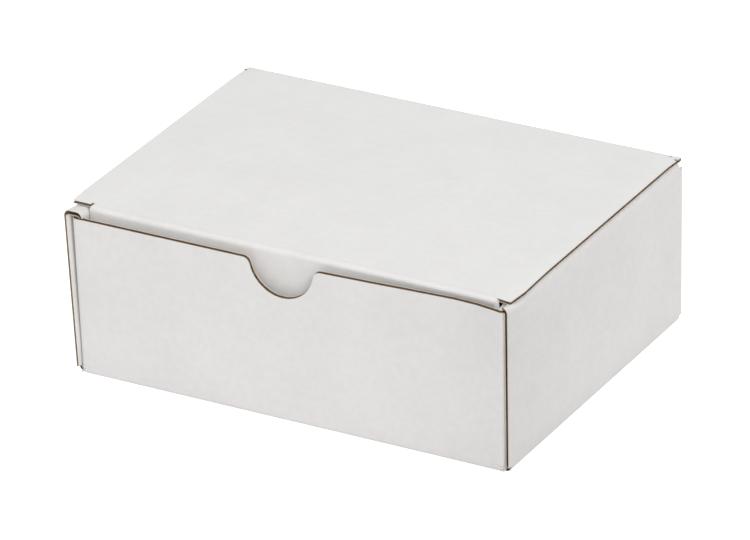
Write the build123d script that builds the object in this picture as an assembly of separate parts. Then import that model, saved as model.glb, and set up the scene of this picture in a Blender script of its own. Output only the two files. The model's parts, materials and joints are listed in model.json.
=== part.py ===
from build123d import *
import os

# A mailer box: one die-cut sheet of corrugated board, folded and tucked, with no glue.
# Millimetres, +Z up. The origin is the middle of the underside, and the front faces -Y.

# Driving dimensions
base_width = 150.0  # left to right over the outer side walls, at the base
box_depth = 110.0  # front face to back face
box_height = 56.0  # underside to lid top
board = 1.5  # thickness of the board
inside_crush = 0.3  # inside radius that a machine crease leaves
side_lean = 1.5  # how far each outer side wall leans out by its top
roll_width = 6.5  # a side wall's rolled top, outer face to inner face
front_height = 52.8  # top edge of the front wall
lid_width = 152.4
lid_rest_gap = 0.3  # between the lid and the rolled tops that it lies on

# Fits between plies
ply_gap = 0.2  # between two boards that lie face to face
edge_inset = 0.3  # a cut edge stands this far back from the face that it ends at
lock_gap = 0.3  # round a lock tab in its slot
fold_reach = 2.0  # height at which a wall is clear of its bottom fold
fold_leg = 0.05  # straight board kept past the end of a fold

# Notch, lock tabs and hidden corner tabs
notch_radius = 11.0
notch_shoulder = 2.5
lock_tab_width = 14.0
lock_tab_spacing = 56.0
corner_tab_length = 38.0
corner_tab_drop = 0.6  # a corner tab's top below the front wall's top

# Lid fold and tuck flap
lid_front_setback = 5.5  # from the front face back to the lid's front edge, where its fold starts
flap_length = 22.5  # below the end of the lid's front fold
flap_width = 138.6
ear_width = 139.4  # across the outer faces of the two ears
ear_length = 30.0
ear_start = 3.0  # down the flap from the end of the fold
ear_taper_top = 8.0  # how much lower the ear's top is at its far end
ear_taper_bottom = 3.0
ear_rounding = 4.0
hinge_gap = 0.1  # between the lid and the rounded top of the back wall

# Worked out from the above
half = board / 2
fold_mid = inside_crush + half
front_face = -box_depth / 2
back_face = box_depth / 2
base_side = base_width / 2
top_side = base_side + side_lean
roll_top = box_height - board - lid_rest_gap
roll_inside = top_side - roll_width
wall_side = base_side - board - ply_gap
lid_underside = box_height - board
hinge_y = back_face - half
hinge_z = box_height - half
lid_front = front_face + lid_front_setback
fold_outside = fold_mid + half

# How a box sits on the point that it is placed at
on_base = (Align.CENTER, Align.CENTER, Align.MIN)
from_below = (Align.CENTER, Align.MIN, Align.MIN)


def bent(middle):
    """Board seen on edge: half a thickness on each side of the line through its middle."""
    return trace(middle, line_width=board)


def side_wall(hand):
    """Outer wall, rolled top and inner wall of one side; hand is 1 or -1."""
    edge_middle = base_side - half
    top_middle = top_side - half
    inner_middle = roll_inside + half
    roll_middle = roll_top - half
    roll_end = roll_middle - fold_mid - fold_leg
    outline = FilletPolyline(
        (hand * (roll_inside - roll_width), half),
        (hand * edge_middle, half),
        (hand * top_middle, roll_middle),
        (hand * inner_middle, roll_middle),
        (hand * inner_middle, roll_end),
        radius=fold_mid,
    )
    length = box_depth - 2 * edge_inset
    wall = extrude(Plane.XZ * bent(outline), amount=length / 2, both=True)
    # Its own fold runs between the front and back folds, and its corners are slit free.
    fold_length = box_depth - 2 * (board + inside_crush)
    slit = Box(4 * roll_width, board + inside_crush, fold_reach, align=from_below)
    slit_back = Pos(hand * base_side, fold_length / 2, 0) * slit
    wall -= slit_back
    wall -= mirror(slit_back, about=Plane.XZ)
    # The rolled top stops at the back wall, which the lid folds from.
    inner_length = box_depth - 2 * (board + edge_inset)
    clear_back = Box(2 * roll_width, board + edge_inset, 2 * board, align=from_below)
    wall -= Pos(hand * top_side, inner_length / 2, roll_end) * clear_back
    # The inner wall stands on the base between the front and back walls.
    inner_foot = board + ply_gap
    inner = Box(board, inner_length, roll_end - inner_foot, align=on_base)
    return wall + Pos(hand * inner_middle, 0, inner_foot) * inner


def end_wall(face_y, tab_y, top):
    """Front or back wall, whose two ends fold back into corner tabs inside the side walls."""
    x = wall_side - half
    inwards = 1 if tab_y > face_y else -1
    y = face_y + inwards * half
    outline = FilletPolyline((-x, tab_y), (-x, y), (x, y), (x, tab_y), radius=fold_mid)
    wall = extrude(Pos(0, 0, fold_reach) * bent(outline), amount=top - fold_reach)
    # The corner tabs are a little lower than the wall.
    low = top - corner_tab_drop
    behind = face_y + inwards * (board + inside_crush)
    trim = Box(base_width, corner_tab_length, board, align=on_base)
    return wall - Pos(0, behind + inwards * corner_tab_length / 2, low) * trim


def make_tray():
    """Base, front, back and side walls: everything that stays still when the lid opens."""
    y = box_depth / 2 - half
    outline = FilletPolyline((-y, fold_reach), (-y, half), (y, half), (y, fold_reach), radius=fold_mid)
    base = extrude(Plane.YZ * bent(outline), amount=wall_side, both=True)
    base += side_wall(1)
    base += side_wall(-1)
    # Lock tabs reach down from the inner walls into slots in the base.
    slot = Box(board + 2 * lock_gap, lock_tab_width + 2 * lock_gap, board + ply_gap)
    tab = Box(board, lock_tab_width, 2 * board, align=on_base)
    lock_x = roll_inside + half
    for spot in GridLocations(2 * lock_x, lock_tab_spacing, 2, 2):
        base -= spot * (Pos(0, 0, half) * slot)
        base += spot * (Pos(0, 0, ply_gap) * tab)

    front = end_wall(front_face, front_face + corner_tab_length, front_height)
    notch = Cylinder(notch_radius, 2 * board, rotation=(90, 0, 0))
    front -= Pos(0, front_face + half, front_height) * notch
    shoulders = front.edges().filter_by(Axis.Y).filter_by_position(Axis.X, -notch_radius, notch_radius)
    front = fillet(shoulders, notch_shoulder)

    back = end_wall(back_face, back_face - corner_tab_length, front_height)
    rise = hinge_z - front_height
    back += Pos(0, hinge_y, front_height + rise / 2) * Box(2 * wall_side, board, rise)
    # A rounded top edge, the half of the lid's fold that stays with the wall.
    back += Pos(0, hinge_y, hinge_z) * Cylinder(half, 2 * wall_side, rotation=(0, 90, 0))
    return base + front + back


def make_lid():
    """Flat top panel, cut square at its sides, with free corners beside the back fold."""
    back = back_face - edge_inset
    panel = Box(lid_width, back - lid_front, board, align=from_below)
    # Room for the rounded top of the back wall, as wide as that wall.
    relief_front = hinge_y - half - hinge_gap
    relief = Box(2 * (wall_side + ply_gap), 2 * board, board, align=from_below)
    lid = Pos(0, lid_front, lid_underside) * panel
    return lid - Pos(0, relief_front, lid_underside) * relief


def make_tuck_flap():
    """The fold at the lid's front, the flap that tucks behind the front wall, and its ears."""
    fold_z = box_height - fold_outside
    curve = CenterArc((lid_front, fold_z), fold_mid, 90, 90)
    fold = extrude(Plane.YZ * bent(curve), amount=flap_width / 2, both=True)

    # The flap's own frame: origin on its outer face where the fold ends, X across, Z up it.
    flap_frame = Pos(0, lid_front - fold_outside, fold_z)

    panel = Box(flap_width, board, flap_length, align=(Align.CENTER, Align.MIN, Align.MAX))
    x = ear_width / 2 - half
    outline = FilletPolyline((-x, ear_length), (-x, half), (x, half), (x, ear_length), radius=fold_mid)
    wrap = extrude(Pos(0, 0, -flap_length) * bent(outline), amount=flap_length - ear_start)

    ear_shape = Polyline(
        (0, -ear_start),
        (ear_length, -ear_start - ear_taper_top),
        (ear_length, -flap_length + ear_taper_bottom),
        (0, -flap_length),
        close=True,
    )
    ear_face = make_face(ear_shape)
    far_corners = ear_face.vertices().group_by(Axis.X)[-1]
    ear_face = fillet(far_corners, ear_rounding)
    ears = wrap & extrude(Plane.YZ * ear_face, amount=ear_width, both=True)
    return fold + flap_frame * (panel + ears)


tray = make_tray()
lid = make_lid()
tuck_flap = make_tuck_flap()

os.makedirs("parts", exist_ok=True)
export_step(tray, "parts/tray.step")
export_step(lid, "parts/lid.step")
export_step(tuck_flap, "parts/tuck_flap.step")
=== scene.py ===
import json
from math import cos, pi, radians, sin, sqrt, tan

import bmesh
import bpy
import numpy as np
from mathutils import Matrix, Vector


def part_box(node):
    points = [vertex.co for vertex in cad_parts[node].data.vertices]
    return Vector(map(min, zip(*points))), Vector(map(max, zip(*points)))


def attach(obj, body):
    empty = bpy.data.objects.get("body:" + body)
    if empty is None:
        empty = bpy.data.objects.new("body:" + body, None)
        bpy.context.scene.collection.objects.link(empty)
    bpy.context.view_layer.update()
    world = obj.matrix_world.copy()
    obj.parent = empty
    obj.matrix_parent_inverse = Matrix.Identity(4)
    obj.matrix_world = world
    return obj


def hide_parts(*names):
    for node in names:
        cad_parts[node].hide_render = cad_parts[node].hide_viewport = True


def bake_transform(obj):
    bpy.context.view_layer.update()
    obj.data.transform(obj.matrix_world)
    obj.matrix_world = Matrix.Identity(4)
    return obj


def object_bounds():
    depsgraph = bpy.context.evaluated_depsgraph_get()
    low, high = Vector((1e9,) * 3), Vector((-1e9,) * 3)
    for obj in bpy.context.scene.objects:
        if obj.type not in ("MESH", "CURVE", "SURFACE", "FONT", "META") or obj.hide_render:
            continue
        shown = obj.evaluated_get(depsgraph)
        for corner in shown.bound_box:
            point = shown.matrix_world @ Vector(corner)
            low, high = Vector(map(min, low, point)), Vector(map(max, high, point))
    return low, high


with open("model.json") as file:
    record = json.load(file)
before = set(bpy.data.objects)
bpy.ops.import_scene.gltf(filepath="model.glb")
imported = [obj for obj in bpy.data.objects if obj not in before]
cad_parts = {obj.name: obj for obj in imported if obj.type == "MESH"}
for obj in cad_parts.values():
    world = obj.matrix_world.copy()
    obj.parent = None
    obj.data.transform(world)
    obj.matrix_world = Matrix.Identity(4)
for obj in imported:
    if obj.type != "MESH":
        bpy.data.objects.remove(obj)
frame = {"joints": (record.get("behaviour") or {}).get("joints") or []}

# A white mailer box, folded from one sheet of corrugated board. Each sheet of the board (outer
# liner, fluting, inner liner) is drawn flat as it is die-cut, then folded up as the box is.
# Metres, in the CAD part's frame: +Z up, the front faces -Y.

first_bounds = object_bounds()
scene = bpy.context.scene
mm = 0.001
hair = 0.01 * mm

# ---------------------------------------------------------------- sizes
tray_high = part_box("tray")[1]
lid_low, lid_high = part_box("lid")
flap_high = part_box("tuck_flap")[1]
joints = {joint["name"]: joint for joint in frame["joints"]}
flap_fold = Vector(joints["flap_fold"]["pos_m"])

board = lid_high.z - lid_low.z
half = board / 2
crease_inside = 0.3 * mm
crease_middle = crease_inside + half
crease_outside = crease_inside + board
liner = 0.2 * mm
medium = 0.15 * mm
flute_pitch = 3.2 * mm
flute_steps = 6
flute_height = board / 2 - liner - medium / 2

depth_half = tray_high.y
base_half = 75 * mm
side_lean = 1.5 * mm
roll_width = 6.5 * mm
roll_top = lid_low.z - 0.3 * mm
front_height = 52.8 * mm
ply_gap = 0.2 * mm
edge_inset = 0.3 * mm
slit_height = 2 * mm
slit = 0.1 * mm
wall_half = base_half - board - ply_gap
notch_radius = 11 * mm
notch_steps = 12
notch_side = 15 * mm
shoulder_radius = 2.5 * mm
shoulder_steps = 5
tab_reach = 38 * mm
tab_drop = 0.6 * mm
lock_tab = 14 * mm
lock_spacing = 56 * mm
lock_gap = 0.3 * mm

lid_front = lid_low.y
lid_seam_front = flap_fold.y + 1 * mm
lid_seam_back = 52.4 * mm
flap_length = 22.5 * mm
flap_half = 69.3 * mm
ear_half = flap_high.x
ear_length = 30 * mm
ear_start = 3 * mm
ear_taper_top = 8 * mm
ear_taper_bottom = 3 * mm
ear_rounding = 4 * mm
ear_steps = 6

# A die-cut edge is pressed thin by the knife's rubber, some edges more than others: the share of
# the board's thickness that is lost at each kind of edge, and how far in from the edge it reaches.
crush_reach = 1.3 * mm
crush_rings = (0.35 * mm, 0.4 * mm, 0.6 * mm)
joined = 0.0
plain_cut = 0.45
upright_cut = 0.55
roll_cut = 0.12
top_cut = 0.2
lid_cut = 0.3
right_crush = 0.6
crush_dip = 0.1 * mm
top_slant = 0.35 * mm

# How far the box has given since it was folded.
front_dent = 2.6 * mm
front_spread = 1.6 * mm
roll_spring = 1.0 * mm
roll_fall = 2.3 * mm
roll_pressed = 0.75 * mm
roll_pull = 2.6 * mm
right_roll_lean = 1.1 * mm
left_roll_lean = 0.5 * mm
left_wall_lean = 0.6 * mm
flap_push = 1.6 * mm
flap_spread = 1.7 * mm
lid_sag = 0.55 * mm
corner_droop = 0.9 * mm
corner_forward = 0.5 * mm
corner_in = 0.25 * mm
tip_droop = 0.25 * mm
right_tip_in = 0.95 * mm
left_tip_in = 0.5 * mm
back_corner_drop = 0.55 * mm


# ---------------------------------------------------------------- folded paths
def fold_path(start, heading, *moves):
    """A folded board seen on edge, by its middle: runs (a length) and bends (degrees, radius)."""
    pieces = []
    along = 0.0
    spot = np.array(start, float)
    angle = radians(heading)
    for move in moves:
        if isinstance(move, tuple):
            turn = radians(move[0])
            radius = move[1]
            pieces.append((along, turn * radius, spot, angle, radius))
            left = np.array((-sin(angle), cos(angle)))
            centre = spot + radius * left
            angle += turn
            spot = centre - radius * np.array((-sin(angle), cos(angle)))
            along += turn * radius
        else:
            pieces.append((along, move, spot, angle, None))
            spot = spot + move * np.array((cos(angle), sin(angle)))
            along += move
    return pieces


def path_length(path):
    return path[-1][0] + path[-1][1]


def follow(path, along, out):
    """Where points at these distances along the path are, out to the board's outer side."""
    a = np.zeros_like(along)
    b = np.zeros_like(along)
    for number, (start, length, spot, angle, radius) in enumerate(path):
        here = along >= start if number else np.full(along.shape, True)
        step = along[here] - start
        if radius is None:
            a[here] = spot[0] + step * cos(angle) + out[here] * sin(angle)
            b[here] = spot[1] + step * sin(angle) - out[here] * cos(angle)
        else:
            turned = angle + step / radius
            a[here] = spot[0] - radius * sin(angle) + (radius + out[here]) * np.sin(turned)
            b[here] = spot[1] + radius * cos(angle) - (radius + out[here]) * np.cos(turned)
    return a, b


def fold_lines(path, spacing, bend_steps=6):
    """Distances along a path at which the sheet needs an edge loop to fold and bow."""
    lines = []
    for start, length, spot, angle, radius in path:
        steps = bend_steps if radius else max(1, round(length / spacing))
        lines += [start + length * step / steps for step in range(1, steps + 1)]
    return lines[:-1]


side_middle = base_half - half
roll_middle = roll_top - half
lean_angle = np.degrees(np.arctan2(roll_middle - half, side_lean))
side_slope = sqrt((roll_middle - half) ** 2 + side_lean**2)
foot_leg = crease_middle * tan(radians(lean_angle / 2))
shoulder_leg = crease_middle * tan(radians((180 - lean_angle) / 2))
inner_middle = base_half + side_lean - roll_width + half

end_path = fold_path(
    (0, half), 0,
    depth_half - crease_outside, (90, crease_middle), front_height - crease_outside,
)
roll_path = fold_path(
    (0, half), 0,
    side_middle - foot_leg, (lean_angle, crease_middle),
    side_slope - foot_leg - shoulder_leg, (180 - lean_angle, crease_middle),
    side_middle + side_lean - inner_middle - shoulder_leg - crease_middle, (90, crease_middle),
    roll_middle - crease_middle - board - ply_gap,
)
corner_path = fold_path(
    (0, 0), 0, wall_half - crease_outside, (90, crease_middle), tab_reach - crease_outside
)
ear_path = fold_path(
    (0, 0), 0, ear_half - crease_outside, (90, crease_middle), ear_length - crease_outside
)
front_crease = 0.8 * mm
crease_saving = crease_middle - front_crease
flap_path = fold_path(
    (lid_seam_front, lid_high.z - half), 180,
    lid_seam_front - flap_fold.y + crease_saving, (90, front_crease), flap_length + crease_saving,
)
crease_path = fold_path(
    (depth_half - half, front_height), 90,
    lid_high.z - crease_outside - front_height, (90, crease_middle),
    depth_half - crease_outside - lid_seam_back,
)

base_end = depth_half - crease_outside
end_top = path_length(end_path)
end_slit = end_top - (front_height - slit_height)
side_start = side_middle - foot_leg
side_up = roll_path[2][0]
side_slit = side_up + (slit_height - half - foot_leg) / sin(radians(lean_angle))
side_top = roll_path[3][0]
roll_end = roll_path[6][0]
side_foot = path_length(roll_path)
corner_end = corner_path[2][0]
tab_end = path_length(corner_path)
free_edge = depth_half - edge_inset


# ---------------------------------------------------------------- die-cut outlines
# Half of each panel, drawn flat: (across, along, how far the line from that point to the next is
# crushed), which is nothing where the board goes on past the line.
def arc(middle_x, middle_y, radius, first, last, steps, cut):
    turns = [radians(first + (last - first) * step / steps) for step in range(steps + 1)]
    return [(middle_x + radius * cos(t), middle_y + radius * sin(t), cut) for t in turns]


def corner_and_tab(side):
    """The corner tab beside the front (-1) or back (1) wall, from the wall's top to the slit."""
    return [
        (corner_end, side * end_top, plain_cut),
        (corner_end, side * (end_top - tab_drop), plain_cut),
        (tab_end, side * (end_top - tab_drop), plain_cut),
        (tab_end, side * (end_slit + slit), plain_cut),
        (corner_path[1][0] + slit, side * (end_slit + slit), plain_cut),
        (corner_path[1][0] + slit, side * end_slit, plain_cut),
        (wall_half, side * end_slit, plain_cut),
        (wall_half, side * base_end, plain_cut),
        (side_start, side * base_end, plain_cut),
        (side_slit, side * base_end, plain_cut),
        (side_slit, side * free_edge, upright_cut),
    ]


def tray_outline():
    shoulder_x = sqrt((notch_radius + shoulder_radius) ** 2 - shoulder_radius**2)
    meet = np.degrees(np.arctan2(shoulder_radius, shoulder_x))
    points = arc(0, -end_top, notch_radius, 90, meet, notch_steps, top_cut)
    shoulder_y = shoulder_radius - end_top
    points += arc(
        shoulder_x, shoulder_y, shoulder_radius, 180 + meet, 270, shoulder_steps, top_cut
    )[1:]
    points += corner_and_tab(-1)
    points += [
        (side_top, -free_edge, roll_cut),
        (roll_end, -free_edge, plain_cut),
        (roll_end, -base_end, plain_cut),
        (side_foot, -base_end, plain_cut),
    ]
    for middle in (-lock_spacing / 2, lock_spacing / 2):
        points += [
            (side_foot, middle - lock_tab / 2, plain_cut),
            (side_foot + board, middle - lock_tab / 2, plain_cut),
            (side_foot + board, middle + lock_tab / 2, plain_cut),
            (side_foot, middle + lock_tab / 2, plain_cut),
        ]
    points += [(side_foot, base_end, plain_cut), (side_top, base_end, plain_cut)]
    points += [(side_top, free_edge, plain_cut)] + corner_and_tab(1)[::-1]
    points[-1] = (corner_end, end_top, joined)
    return points + [(0, end_top, joined)]


def lid_outline():
    corner_gap = wall_half + ply_gap
    return [
        (0, lid_seam_front, joined),
        (flap_half + slit, lid_seam_front, lid_cut),
        (flap_half + slit, lid_front, lid_cut),
        (lid_high.x, lid_front, lid_cut),
        (lid_high.x, lid_high.y, lid_cut),
        (corner_gap, lid_high.y, lid_cut),
        (corner_gap, lid_seam_back, joined),
        (0, lid_seam_back, joined),
    ]


def crease_outline():
    return [
        (0, 0, joined),
        (wall_half, 0, plain_cut),
        (wall_half, path_length(crease_path), joined),
        (0, path_length(crease_path), joined),
    ]


def flap_outline():
    flap_start = flap_path[2][0]
    foot = path_length(flap_path)
    ear_fold = ear_path[1][0]
    ear_end = path_length(ear_path)
    ear_top = flap_start + ear_start
    far_top = ear_top + ear_taper_top
    far_foot = foot - ear_taper_bottom
    round_x = ear_end - ear_rounding
    round_top = far_top + ear_rounding
    round_foot = far_foot - ear_rounding
    return [
        (0, 0, joined),
        (flap_half, 0, plain_cut),
        (flap_half, ear_top - slit, plain_cut),
        (ear_fold, ear_top - slit, plain_cut),
        (ear_fold, ear_top, plain_cut),
        *arc(round_x, round_top, ear_rounding, 285, 360, ear_steps, plain_cut),
        *arc(round_x, round_foot, ear_rounding, 0, 84, ear_steps, plain_cut),
        (ear_fold, foot, plain_cut),
        (0, foot, joined),
    ]


# ---------------------------------------------------------------- drawing the sheets
def start_line(name, spot):
    """A new mesh with one vertex, in edit mode, to draw a line from."""
    bpy.ops.object.select_all(action="DESELECT")
    bpy.ops.mesh.primitive_plane_add(size=mm)
    piece = bpy.context.active_object
    piece.name = name
    piece.data.name = name
    bpy.ops.object.mode_set(mode="EDIT")
    bpy.ops.mesh.select_all(action="SELECT")
    bpy.ops.mesh.merge(type="CENTER")
    bpy.ops.transform.translate(value=spot)
    return piece


def pull(step):
    """Extrude what is selected by this step."""
    bpy.ops.mesh.extrude_region_move(TRANSFORM_OT_translate={"value": step})


def draw_line(name, spots):
    spots = [Vector(spot) for spot in spots]
    piece = start_line(name, spots[0])
    for here, there in zip(spots, spots[1:]):
        pull(there - here)
    return piece


def cut_lines(places, direction):
    """Edge loops straight across the sheet at these places."""
    for place in places:
        bpy.ops.mesh.select_all(action="SELECT")
        bpy.ops.mesh.bisect(plane_co=place * direction, plane_no=direction)


def draw_liner(name, outline, across, along):
    """A flat half sheet of paper with the outline's shape, with rings of edges to crush."""
    piece = draw_line(name, [(x, y, 0) for x, y, cut in outline])
    bpy.ops.mesh.select_all(action="SELECT")
    bpy.ops.mesh.edge_face_add()
    for ring in crush_rings:
        bpy.ops.mesh.inset(thickness=ring, depth=0)
    cut_lines(across, Vector((1, 0, 0)))
    cut_lines(along, Vector((0, 1, 0)))
    bpy.ops.mesh.select_all(action="SELECT")
    bpy.ops.mesh.remove_doubles(threshold=0.03 * mm)
    bpy.ops.mesh.dissolve_degenerate(threshold=0.02 * mm)
    return piece


def flute_line(low, high, phase):
    """The fluting's wave, seen on edge, between two places along the board."""
    count = int((high - low) / flute_pitch * flute_steps) + 1
    places = [low + (high - low) * number / count for number in range(count + 1)]
    return [(0, y, flute_height * sin(2 * pi * y / flute_pitch + phase)) for y in places]


def draw_fluting(name, outline, across, phase):
    """A flat half sheet of fluting, its waves run across the box, trimmed to the outline."""
    low = min(y for x, y, cut in outline)
    high = max(y for x, y, cut in outline)
    piece = draw_line(name, flute_line(low, high, phase))
    bpy.ops.mesh.select_all(action="SELECT")
    reached = 0.0
    for place in across:
        pull((place - reached, 0, 0))
        reached = place
    sheet = bmesh.from_edit_mesh(piece.data)
    corners = np.array([(x, y) for x, y, cut in outline])
    centres = np.array([face.calc_center_median()[:2] for face in sheet.faces])
    outside = ~inside(centres, corners)
    for face, away in zip(sheet.faces, outside):
        face.select_set(bool(away))
    bmesh.update_edit_mesh(piece.data)
    bpy.ops.mesh.delete(type="FACE")
    sheet = bmesh.from_edit_mesh(piece.data)
    spots = np.array([vert.co[:2] for vert in sheet.verts])
    away = ~inside(spots, corners)
    moved = nearest_on_outline(spots[away], outline)
    for vert, spot in zip([v for v, out in zip(sheet.verts, away) if out], moved):
        vert.co.x, vert.co.y = spot
    bmesh.update_edit_mesh(piece.data)
    return piece


def inside(spots, corners):
    """Which spots are inside a closed outline."""
    found = np.full(len(spots), False)
    for (x0, y0), (x1, y1) in zip(corners, np.roll(corners, -1, axis=0)):
        if y0 == y1:
            continue
        crosses = (spots[:, 1] > min(y0, y1)) & (spots[:, 1] <= max(y0, y1))
        reach = x0 + (spots[:, 1] - y0) / (y1 - y0) * (x1 - x0)
        found ^= crosses & (spots[:, 0] < reach)
    return found


def outline_runs(outline):
    following = outline[1:] + outline[:1]
    return [
        (np.array(here[:2]), np.array(there[:2]), here[2]) for here, there in zip(outline, following)
    ]


def gap_to_run(spots, here, there):
    """Each spot's nearest place on one straight run of an outline, and how far off that is."""
    run = there - here
    share = np.clip((spots - here) @ run / (run @ run), 0, 1)
    near = here + share[:, None] * run
    return near, np.linalg.norm(spots - near, axis=1)


def nearest_on_outline(spots, outline):
    best = np.full(len(spots), 1e9)
    found = spots.copy()
    for here, there, cut in outline_runs(outline):
        near, gap = gap_to_run(spots, here, there)
        closer = gap < best
        best[closer] = gap[closer]
        found[closer] = near[closer]
    return found


def crushed(spots, outline):
    """How far each spot is crushed by the die-cut edges near it, as a share of the thickness, and
    how near it is to a top edge, from 0 to 1."""
    most = np.zeros(len(spots))
    top = np.zeros(len(spots))
    for here, there, cut in outline_runs(outline):
        near, gap = gap_to_run(spots, here, there)
        nearness = np.clip(1 - gap / crush_reach, 0, 1) ** 2
        most = np.maximum(most, cut * nearness)
        if cut == top_cut:
            top = np.maximum(top, nearness)
    return most, top


def cut_slots():
    """Open the base's slots for the lock tabs."""
    piece = bpy.context.active_object
    sheet = bmesh.from_edit_mesh(piece.data)
    for face in sheet.faces:
        middle = face.calc_center_median()
        in_x = abs(middle.x - inner_middle) < half + lock_gap
        in_y = abs(abs(middle.y) - lock_spacing / 2) < lock_tab / 2 + lock_gap
        face.select_set(in_x and in_y)
    bmesh.update_edit_mesh(piece.data)
    bpy.ops.mesh.delete(type="FACE")


def apply(piece, kind, **settings):
    """Add a modifier with these settings and apply it."""
    bpy.context.view_layer.objects.active = piece
    modifier = piece.modifiers.new(kind.lower(), kind)
    for name, value in settings.items():
        setattr(modifier, name, value)
    bpy.ops.object.modifier_apply(modifier=modifier.name)


def shape(piece, outline, out, fold, thickness, finishes):
    """Mirror the flat half, crush its cut edges, fold it up and give it its thickness."""
    bpy.ops.object.mode_set(mode="OBJECT")
    apply(piece, "MIRROR", merge_threshold=hair)
    mesh = piece.data
    spots = np.zeros(len(mesh.vertices) * 3, np.float32)
    mesh.vertices.foreach_get("co", spots)
    spots = spots.reshape(-1, 3).astype(float)
    flat = np.column_stack((abs(spots[:, 0]), spots[:, 1]))
    crush, top = crushed(flat, outline)
    # The tray's right side is crushed less than the rest.
    crush *= np.where((spots[:, 0] > wall_half) & (fold is fold_tray), right_crush, 1)
    offset = out + spots[:, 2]
    offset = half - (half - offset) * (1 - crush) - crush_dip * crush
    folded = fold(spots[:, 0], spots[:, 1], offset)
    outward = fold(spots[:, 0], spots[:, 1], offset + hair) - folded
    folded[:, 2] += top_slant * top * (half - offset) / board
    mesh.vertices.foreach_set("co", folded.astype(np.float32).ravel())
    mesh.update()
    # A liner's faces look away from the fluting, so its other side is the brown one.
    facing = sum(face.normal.dot(outward[face.vertices[0]]) for face in mesh.polygons)
    if facing * out < 0:
        mesh.flip_normals()
    for finish in finishes:
        mesh.materials.append(finish)
    apply(
        piece, "SOLIDIFY", thickness=thickness, offset=0, use_even_offset=True,
        material_offset=min(1, len(finishes) - 1), material_offset_rim=len(finishes) - 1,
    )
    # The paper's thickness bulges at the tightest corners, so it is kept within the box's size.
    spots = np.zeros(len(mesh.vertices) * 3, np.float32)
    mesh.vertices.foreach_get("co", spots)
    spots = np.clip(spots.reshape(-1, 3), np.float32(first_bounds[0]), np.float32(first_bounds[1]))
    mesh.vertices.foreach_set("co", spots.ravel())
    mesh.update()
    bpy.ops.object.mode_set(mode="EDIT")
    bpy.ops.mesh.select_all(action="SELECT")
    bpy.ops.mesh.normals_make_consistent(inside=False)
    bpy.ops.object.mode_set(mode="OBJECT")
    bpy.ops.object.select_all(action="DESELECT")
    piece.select_set(True)
    bpy.ops.object.shade_smooth_by_angle(angle=radians(40))
    bpy.ops.object.select_all(action="DESELECT")
    return piece


# ---------------------------------------------------------------- how each part folds up
def ease(value, low, high):
    """0 at low, 1 at high, smooth between."""
    share = np.clip((value - low) / (high - low), 0, 1)
    return share * share * (3 - 2 * share)


def front_press(x):
    """How far the front's right half is pressed in, from 0 to 1, across the box."""
    places = np.array((0, 15, 30, 45, 58, 66, 71, 74)) * mm
    amounts = (0, 0.15, 0.42, 0.76, 1, 0.84, 0.4, 0.15)
    return np.interp(x, places, amounts)


def fold_tray(u, v, out):
    """Front and back walls fold up with their corner tabs inside; the sides roll over them."""
    across = abs(u)
    hand = np.sign(u)
    x, inward = follow(corner_path, across, out)
    y, z = follow(end_path, abs(v), -inward)
    spots = np.column_stack((hand * x, np.sign(v) * y, z))
    rolled_x, rolled_z = follow(roll_path, across, out)
    rolled = np.column_stack((hand * rolled_x, v, rolled_z))
    on_side = (abs(v) <= base_end + hair) | (
        (across > side_start + 1 * mm) & (abs(v) <= free_edge + hair)
    )
    spots = np.where(on_side[:, None], rolled, spots)
    return wear_tray(spots, on_side)


def wear_tray(spots, on_side):
    """The box isn't quite square: its front is pressed in at the right, and its rolls give."""
    x, y, z = spots.T.copy()
    height = np.clip(z / front_height, 0, 1.05)
    near_front = ease(-y, 42 * mm, 50 * mm)
    on_front = ~on_side & (y < 0)
    press = front_press(x) * ease(-y, 46 * mm, 52 * mm) * on_front
    y += front_dent * press * height**2
    right_roll = ease(x, 60 * mm, 70 * mm) * (1 - ease(x, 73 * mm, 75 * mm))
    left_roll = ease(-x, 60 * mm, 69 * mm) * (1 - ease(-x, 71.6 * mm, 74.5 * mm))
    left_wall = ease(-x, 72.5 * mm, 75 * mm)
    # The rolls' free front ends spring up, and the right one's inner side falls in and back.
    up_high = np.clip(z / roll_top, 0, 1) ** 8 * on_side
    free_end = ease(-y, 49.8 * mm, 54.4 * mm)
    outer_part = ease(x, 73.2 * mm, 75.4 * mm)
    right_spring = (roll_spring + roll_fall) * outer_part - roll_fall
    spring = np.where(x > 0, right_spring, roll_spring)
    pressed = roll_pressed * ease(x, 60 * mm, 68 * mm) * ease(-y, 30 * mm, 48 * mm)
    z += up_high * (spring * free_end - pressed * (1 - free_end))
    y += roll_pull * up_high * free_end * (1 - outer_part) * ease(x, 66 * mm, 70 * mm)
    x += front_spread * height * near_front * on_front * ease(x, 60 * mm, wall_half)
    roll_lean = right_roll_lean * right_roll + left_roll_lean * left_roll
    x += height * near_front * on_side * roll_lean
    x += left_wall_lean * height * on_side * left_wall
    return np.column_stack((x, y, z))


def fold_lid(u, v, out):
    spots = np.column_stack((u, v, lid_high.z - half + out))
    return wear_lid(spots)


def fold_flap(u, v, out):
    x, inward = follow(ear_path, abs(u), out)
    y, z = follow(flap_path, v, -inward)
    spots = wear_lid(np.column_stack((np.sign(u) * x, y, z)))
    x, y, z = spots.T
    # The pressed front pushes the flap in too, and the flap's upper right spreads out to the roll.
    y += flap_push * front_press(x) * ease(54.8 * mm - z, 0, 3 * mm)
    upper_front = ease(z, 47 * mm, 51.5 * mm) * ease(-y, 45 * mm, 49.5 * mm)
    x += flap_spread * ease(x, 20 * mm, 69 * mm) * upper_front
    return spots


def fold_crease(u, v, out):
    y, z = follow(crease_path, v, out)
    return wear_lid(np.column_stack((u, y, z)))


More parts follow.
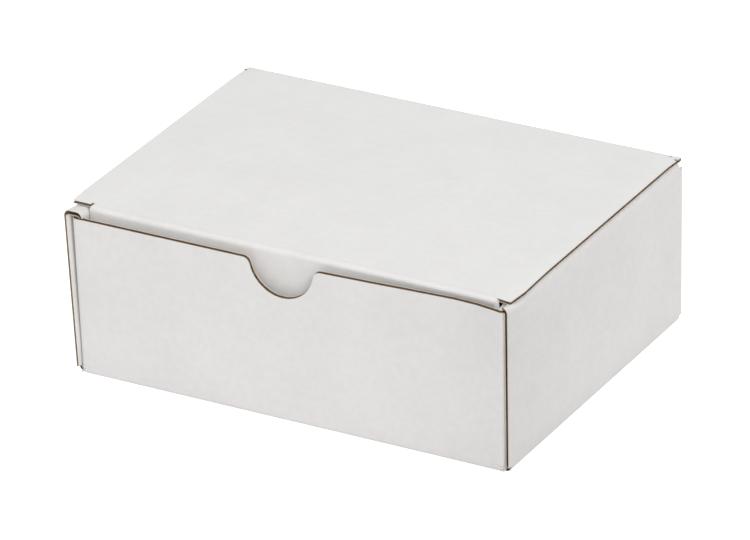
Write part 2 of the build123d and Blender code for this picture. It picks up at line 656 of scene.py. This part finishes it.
def wear_lid(spots):
    """The lid sags towards its front fold, its front right corner droops and its tips turn in."""
    x, y, z = spots.T.copy()
    middle = 1 - ease(abs(x), 60 * mm, 72 * mm)
    z -= lid_sag * ease(-y, 5 * mm, 49 * mm) * middle
    corner = ease(x, 58 * mm, 76 * mm) * ease(-y, 28 * mm, 49 * mm)
    tip = ease(abs(x), 68 * mm, 76 * mm) * ease(-y, 42 * mm, 49.5 * mm)
    z -= corner_droop * corner + tip_droop * tip * (x > 0)
    y -= corner_forward * corner
    x -= np.where(x > 0, corner_in * corner + right_tip_in * tip, -left_tip_in * tip)
    beside_crease = ease(abs(x), wall_half, wall_half + ply_gap)
    z -= back_corner_drop * beside_crease * ease(y, lid_seam_back, 54.7 * mm)
    return np.column_stack((x, y, z))


# ---------------------------------------------------------------- node helpers
class Nodes:
    """A node tree that is filled in by calls. An input is given by its name, or as in0, in1, ..."""

    def __init__(self, tree):
        self.tree = tree

    def add(self, kind, settings=None, **inputs):
        node = self.tree.nodes.new(kind)
        for name, value in (settings or {}).items():
            setattr(node, name, value)
        for name, value in inputs.items():
            numbered = name.startswith("in") and name[2:].isdigit()
            self.put(node, int(name[2:]) if numbered else name, value)
        return node

    def put(self, node, name, value):
        if isinstance(value, bpy.types.NodeSocket):
            self.tree.links.new(value, node.inputs[name])
        else:
            node.inputs[name].default_value = value

    def math(self, how, a, b=0.0):
        return self.add("ShaderNodeMath", {"operation": how}, in0=a, in1=b).outputs[0]

    def spread(self, value, low, high, to_low=0.0, to_high=1.0):
        node = self.add("ShaderNodeMapRange", {"interpolation_type": "SMOOTHSTEP"}, Value=value)
        limits = {"From Min": low, "From Max": high, "To Min": to_low, "To Max": to_high}
        for name, amount in limits.items():
            self.put(node, name, amount)
        return node.outputs[0]

    def mix(self, share, a, b):
        node = self.add("ShaderNodeMix", {"data_type": "RGBA"}, in0=share, in6=a, in7=b)
        return node.outputs[2]

    def noise(self, where, scale, detail=3.0, rough=0.5, distortion=0.0):
        node = self.add(
            "ShaderNodeTexNoise", None, Vector=where, Scale=scale, Detail=detail,
            Roughness=rough, Distortion=distortion,
        )
        return node.outputs[0]

    def stretch(self, where, scale):
        return self.add("ShaderNodeMapping", None, Vector=where, Scale=scale).outputs[0]


def new_group(name, inputs, outputs):
    tree = bpy.data.node_groups.new(name, "ShaderNodeTree")
    for title, kind, value in inputs:
        socket = tree.interface.new_socket(title, in_out="INPUT", socket_type=kind)
        socket.default_value = value
    for title, kind in outputs:
        tree.interface.new_socket(title, in_out="OUTPUT", socket_type=kind)
    nodes = Nodes(tree)
    return tree, nodes, nodes.add("NodeGroupInput"), nodes.add("NodeGroupOutput")


def paper_fibres():
    """Pulp clouds, fibres and the relief of white paper."""
    tree, nodes, given, gives = new_group(
        "paper fibres",
        [
            ("Colour", "NodeSocketColor", (0.8, 0.8, 0.8, 1)),
            ("Shade", "NodeSocketColor", (0.7, 0.7, 0.7, 1)),
        ],
        [
            ("Colour", "NodeSocketColor"),
            ("Roughness", "NodeSocketFloat"),
            ("Height", "NodeSocketFloat"),
        ],
    )
    where = nodes.add("ShaderNodeTexCoord").outputs["Object"]
    clouds = nodes.noise(where, 55, 4, 0.6)
    mottle = nodes.noise(where, 420, 3, 0.6)
    fibres = nodes.noise(nodes.stretch(where, (1, 3.2, 3.2)), 1500, 2, 0.6, 1.5)
    share = nodes.math("MULTIPLY", nodes.spread(clouds, 0.3, 0.7), 0.45)
    for texture, low, high, amount in ((mottle, 0.35, 0.65, 0.35), (fibres, 0.4, 0.7, 0.2)):
        more = nodes.math("MULTIPLY", nodes.spread(texture, low, high), amount)
        share = nodes.math("ADD", share, more)
    nodes.put(gives, "Colour", nodes.mix(share, given.outputs["Colour"], given.outputs["Shade"]))
    nodes.put(gives, "Roughness", nodes.spread(mottle, 0.2, 0.8, 0.58, 0.72))
    nodes.put(gives, "Height", nodes.math("ADD", nodes.math("MULTIPLY", fibres, 0.6), mottle))
    return tree


def washboard():
    """The fluting showing faintly through a liner: ridges across the box, one to each flute."""
    tree, nodes, given, gives = new_group("washboard", [], [("Height", "NodeSocketFloat")])
    coordinates = nodes.add("ShaderNodeTexCoord")
    where = coordinates.outputs["Object"]
    place = nodes.add("ShaderNodeSeparateXYZ", None, Vector=where)
    normal = nodes.add("ShaderNodeSeparateXYZ", None, Vector=coordinates.outputs["Normal"])
    upright = nodes.spread(nodes.math("ABSOLUTE", normal.outputs["Y"]), 0.6, 0.8)
    # The ridges follow each other along Y on the flat and along Z on the upright walls.
    flat_wave, upright_wave = [
        nodes.math("SINE", nodes.math("MULTIPLY", place.outputs[way], 2 * pi / flute_pitch))
        for way in ("Y", "Z")
    ]
    wave = nodes.add(
        "ShaderNodeMix", {"data_type": "FLOAT"}, in0=upright, in2=flat_wave, in3=upright_wave
    )
    patchy = nodes.spread(nodes.noise(where, 30, 2), 0.3, 0.7, 0.3, 1.0)
    nodes.put(gives, "Height", nodes.math("MULTIPLY", wave.outputs[0], patchy))
    return tree


def new_material(name):
    material = bpy.data.materials.new(name)
    material.use_nodes = True
    tree = material.node_tree
    tree.nodes.clear()
    nodes = Nodes(tree)
    surface = nodes.add("ShaderNodeBsdfPrincipled")
    nodes.add("ShaderNodeOutputMaterial", None, Surface=surface.outputs[0])
    return material, nodes, surface


def use_group(nodes, group):
    return nodes.add("ShaderNodeGroup", {"node_tree": group})


def paper_material(name, colour, shade, sheen):
    """A material with the paper's colour, and what it takes to add the rest."""
    material, nodes, surface = new_material(name)
    paper = use_group(nodes, fibres_group)
    nodes.put(paper, "Colour", colour)
    nodes.put(paper, "Shade", shade)
    nodes.put(surface, "Base Color", paper.outputs["Colour"])
    nodes.put(surface, "Specular IOR Level", sheen)
    return material, nodes, surface, paper


def white_liner(name, colour, shade, ridges):
    """Smooth white paper over fluting, whose ridges show this deep."""
    material, nodes, surface, paper = paper_material(name, colour, shade, 0.25)
    nodes.put(surface, "Roughness", paper.outputs["Roughness"])
    ridge = use_group(nodes, washboard_group)
    first = nodes.add(
        "ShaderNodeBump", None, Height=ridge.outputs[0], Strength=1.0, Distance=ridges
    )
    relief = nodes.add(
        "ShaderNodeBump", None, Height=paper.outputs["Height"], Strength=0.5,
        Distance=0.012 * mm, Normal=first.outputs[0],
    )
    nodes.put(surface, "Normal", relief.outputs[0])
    return material


def raw_paper(name, colour, shade, roughness):
    """Paper's cut edge or bare brown fluting."""
    material, nodes, surface, paper = paper_material(name, colour, shade, 0.15)
    nodes.put(surface, "Roughness", roughness)
    relief = nodes.add(
        "ShaderNodeBump", None, Height=paper.outputs["Height"], Strength=0.8, Distance=0.03 * mm
    )
    nodes.put(surface, "Normal", relief.outputs[0])
    return material


fibres_group = paper_fibres()
washboard_group = washboard()
# The walls and the tuck flap get a copy of the white liner a touch darker and warmer than the lid's,
# though all are the same board: painted shade on the upright faces and painted light on the lid.
shaded_tray_white = white_liner(
    "white liner, walls, painted shade", (0.83, 0.812, 0.80, 1), (0.77, 0.752, 0.74, 1), 0.006 * mm
)
lit_lid_white = white_liner(
    "white liner, lid, painted light", (0.83, 0.825, 0.81, 1), (0.78, 0.775, 0.76, 1), 0.006 * mm
)
inner_white = white_liner(
    "white liner, inside", (0.80, 0.785, 0.76, 1), (0.74, 0.72, 0.69, 1), 0.012 * mm
)
cut_paper = raw_paper(
    "cut edge of the white liner", (0.72, 0.65, 0.57, 1), (0.60, 0.51, 0.42, 1), 0.8
)
kraft = raw_paper("brown fluting", (0.29, 0.205, 0.14, 1), (0.20, 0.135, 0.09, 1), 0.85)


# ---------------------------------------------------------------- building the parts
def build(part, outline, fold, across, along, white, phase, slots=False):
    """The three sheets of one part of the box."""
    outer = half - liner / 2
    sheets = []
    for name, out, finish in (("outer_liner", outer, white), ("inner_liner", -outer, inner_white)):
        sheet = draw_liner(f"{part}_{name}", outline, across, along)
        if slots:
            cut_slots()
        sheets.append(shape(sheet, outline, out, fold, liner, (finish, kraft, cut_paper)))
    ends = sorted(across + [max(x for x, y, cut in outline)])
    sheet = draw_fluting(f"{part}_fluting", outline, ends, phase)
    if slots:
        cut_slots()
    sheets.append(shape(sheet, outline, 0, fold, medium, (kraft,)))
    return sheets


def spaced(low, high, step):
    count = max(1, round((high - low) / step))
    return [low + (high - low) * number / count for number in range(1, count)]


slot_sides = [inner_middle - half - lock_gap, inner_middle + half + lock_gap]
slot_ends = [
    side * (lock_spacing / 2) + end * (lock_tab / 2 + lock_gap)
    for side in (-1, 1)
    for end in (-1, 1)
]
notch_lines = spaced(0, notch_side, 1.1 * mm) + [notch_side]
roll_lines = [place for place in fold_lines(roll_path, 9 * mm) if place >= side_start - hair]
corner_fold = corner_path[1][0]
base_lines = spaced(notch_side, corner_fold, 7 * mm)
corner_steps = 6
corner_lines = [
    corner_fold + step * crease_middle * pi / 2 / corner_steps for step in range(corner_steps + 1)
]
tray_across = sorted(notch_lines + base_lines + corner_lines + roll_lines + slot_sides)
end_lines = fold_lines(end_path, 6 * mm)
tray_along = sorted(end_lines + [-place for place in end_lines] + slot_ends)
# The flutes are placed so that one crests at the front wall's cut top edge.
tray_phase = pi / 2 + 2 * pi * end_top / flute_pitch

tray_sheets = build(
    "tray", tray_outline(), fold_tray, tray_across, tray_along, shaded_tray_white, tray_phase, slots=True
)
lid_across = spaced(0, lid_high.x - 1.5 * mm, 6 * mm)
lid_across += [lid_high.x - gap * mm for gap in (1.4, 0.9, 0.5, 0.2)]
lid_along = spaced(lid_seam_front, lid_seam_back, 6 * mm)
lid_sheets = build("lid", lid_outline(), fold_lid, lid_across, lid_along, lit_lid_white, 0)
crease_sheets = build(
    "lid_crease", crease_outline(), fold_crease, spaced(0, wall_half, 6 * mm),
    fold_lines(crease_path, 1 * mm, 9), lit_lid_white, 0,
)
flap_sheets = build(
    "flap", flap_outline(), fold_flap, fold_lines(ear_path, 6 * mm),
    fold_lines(flap_path, 3 * mm, 10), shaded_tray_white, 0,
)

for sheet in tray_sheets:
    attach(sheet, "tray")
for sheet in lid_sheets:
    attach(sheet, "lid")
for sheet in crease_sheets:
    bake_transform(sheet)
for sheet in flap_sheets:
    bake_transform(sheet)
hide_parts("tray")
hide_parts("lid")
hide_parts("tuck_flap")


# ---------------------------------------------------------------- floor, light and camera
def matt_paint(name, clouds, detail, light, dark):
    """Matt grey paint, faintly clouded, and what it takes to add the rest."""
    material, nodes, surface = new_material(name)
    where = nodes.add("ShaderNodeTexCoord").outputs["Object"]
    share = nodes.noise(where, clouds, detail)
    paint = nodes.mix(share, (light, light, light, 1), (dark, dark, dark, 1))
    nodes.put(surface, "Base Color", paint)
    nodes.put(surface, "Roughness", 0.9)
    return material, nodes, surface


bpy.ops.object.select_all(action="DESELECT")
bpy.ops.mesh.primitive_plane_add(size=12, location=(0, 0, -0.05 * mm))
floor = bpy.context.active_object
floor.name = "floor"
floor_look, nodes, surface = matt_paint("white floor", 3, 2, 0.8, 0.78)
nodes.put(surface, "Specular IOR Level", 0.1)
# The floor glows a little, and more to the camera, so that it shows as plain white.
floor_glow = 0.16
camera_glow = 0.7
camera_ray = nodes.add("ShaderNodeLightPath").outputs["Is Camera Ray"]
glow = nodes.math("ADD", nodes.math("MULTIPLY", camera_ray, camera_glow), floor_glow)
nodes.put(surface, "Emission Color", (1, 1, 1, 1))
nodes.put(surface, "Emission Strength", glow)
floor.data.materials.append(floor_look)

world = bpy.data.worlds.new("studio")
scene.world = world
world.use_nodes = True
sky = Nodes(world.node_tree)
world.node_tree.nodes.clear()
camera_ray = sky.add("ShaderNodeLightPath").outputs["Is Camera Ray"]
strength = sky.add("ShaderNodeMix", {"data_type": "FLOAT"}, in0=camera_ray, in2=0.5, in3=1.0)
white = sky.add("ShaderNodeBackground", None, Color=(1, 1, 1, 1), Strength=strength.outputs[0])
sky.add("ShaderNodeOutputWorld", None, Surface=white.outputs[0])


def soft_box(name, spot, size, power):
    """A round soft light, aimed at the foot of the box."""
    bpy.ops.object.light_add(type="AREA", location=spot)
    light = bpy.context.active_object
    light.name = name
    light.data.shape = "DISK"
    light.data.size = size
    light.data.energy = power
    light.rotation_euler = (-Vector(spot)).to_track_quat("-Z", "Y").to_euler()


soft_box("soft box above", (-0.2, 0.1, 1.7), 1.2, 8)
soft_box("soft box in front", (1.05, -1.15, 1.15), 1.0, 15)

# A small grey card faces the near corner and shades the two sides there.
bpy.ops.mesh.primitive_plane_add(size=1, location=(0.15, -0.12, 0.03))
card = bpy.context.active_object
card.name = "grey_card"
card.scale = (0.12, 0.06, 1)
card.rotation_euler = (radians(90), 0, radians(45))
card_look, nodes, surface = matt_paint("grey card", 20, 3, 0.2, 0.16)
card.data.materials.append(card_look)
card.visible_camera = False

camera_turn = 31.12
camera_height = 26.91
camera_roll = 2.66
camera_distance = 2.026
camera_lens = 320.5
camera_aim = Vector((-0.70, 0, 25.75)) * mm
turn, rise, tilt = radians(camera_turn), radians(camera_height), radians(camera_roll)
back = Vector((sin(turn) * cos(rise), -cos(turn) * cos(rise), sin(rise)))
right = Vector((cos(turn), sin(turn), 0))
up = back.cross(right)
bpy.ops.object.camera_add()
camera = bpy.context.active_object
camera.name = "camera"
tilted_right = cos(tilt) * right - sin(tilt) * up
tilted_up = sin(tilt) * right + cos(tilt) * up
axes = Matrix((tilted_right, tilted_up, back)).transposed()
camera.matrix_world = Matrix.Translation(camera_aim + back * camera_distance) @ axes.to_4x4()
camera.data.lens = camera_lens
camera.data.clip_start = 0.05
camera.data.clip_end = 30
scene.camera = camera
scene.view_settings.view_transform = "Standard"
